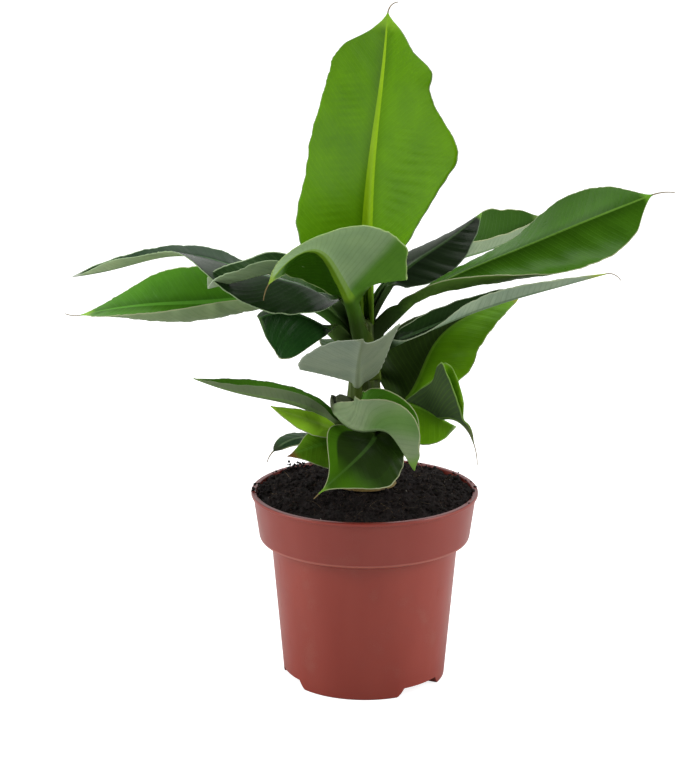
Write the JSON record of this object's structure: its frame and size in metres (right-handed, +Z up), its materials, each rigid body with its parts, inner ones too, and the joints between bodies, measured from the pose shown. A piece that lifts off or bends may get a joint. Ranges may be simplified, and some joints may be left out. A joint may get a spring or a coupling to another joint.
{
  "type": "potted banana plant",
  "caption": "Young banana plant with broad oval leaves on a short pseudostem, in a round terracotta-coloured plastic nursery pot.",
  "frame": {"origin": "middle of the pot's flat underside, on the surface it stands on", "axes": "+Z up along the stem, +X to the plant's right seen from its front, -Y towards its front"},
  "size_m": [0.3208, 0.2009, 0.3555],
  "materials": {
    "pot": "semi-gloss moulded plastic, terracotta red-brown",
    "soil": "rough dark potting mix with fibres",
    "stem": "satin olive green leaf sheaths with darker stripes",
    "leaf_bright": "satin mid green leaf, lit through",
    "leaf_dark": "glossy dark green leaf",
    "leaf_grey": "waxy grey-green leaf underside"
  },
  "bodies": {
    "root": {"leaf_back_high": "leaf_dark", "leaf_back_left": "leaf_dark", "leaf_back_low": "leaf_dark", "leaf_back_right_far": "leaf_dark", "leaf_back_right_low": "leaf_dark", "leaf_back_right_near": "leaf_dark", "leaf_front_cupped": "leaf_grey", "leaf_front_grey": "leaf_grey", "leaf_left_drooping": "leaf_dark", "leaf_left_folded": "leaf_dark", "leaf_left_long": "leaf_dark", "leaf_left_low": "leaf_bright", "leaf_low_front_broad": "leaf_dark", "leaf_low_front_saddle": "leaf_grey", "leaf_low_left_brown": "leaf_dark", "leaf_low_left_dark": "leaf_dark", "leaf_low_left_long": "leaf_dark", "leaf_low_left_short": "leaf_bright", "leaf_low_right_curled": "leaf_bright", "leaf_right_broad": "leaf_dark", "leaf_right_cupped": "leaf_dark", "leaf_right_narrow": "leaf_dark", "leaf_right_rising": "leaf_bright", "leaf_top": "leaf_bright", "pot": "pot", "pseudostem": "stem", "root_ball": "soil"}
  },
  "joints": []
}
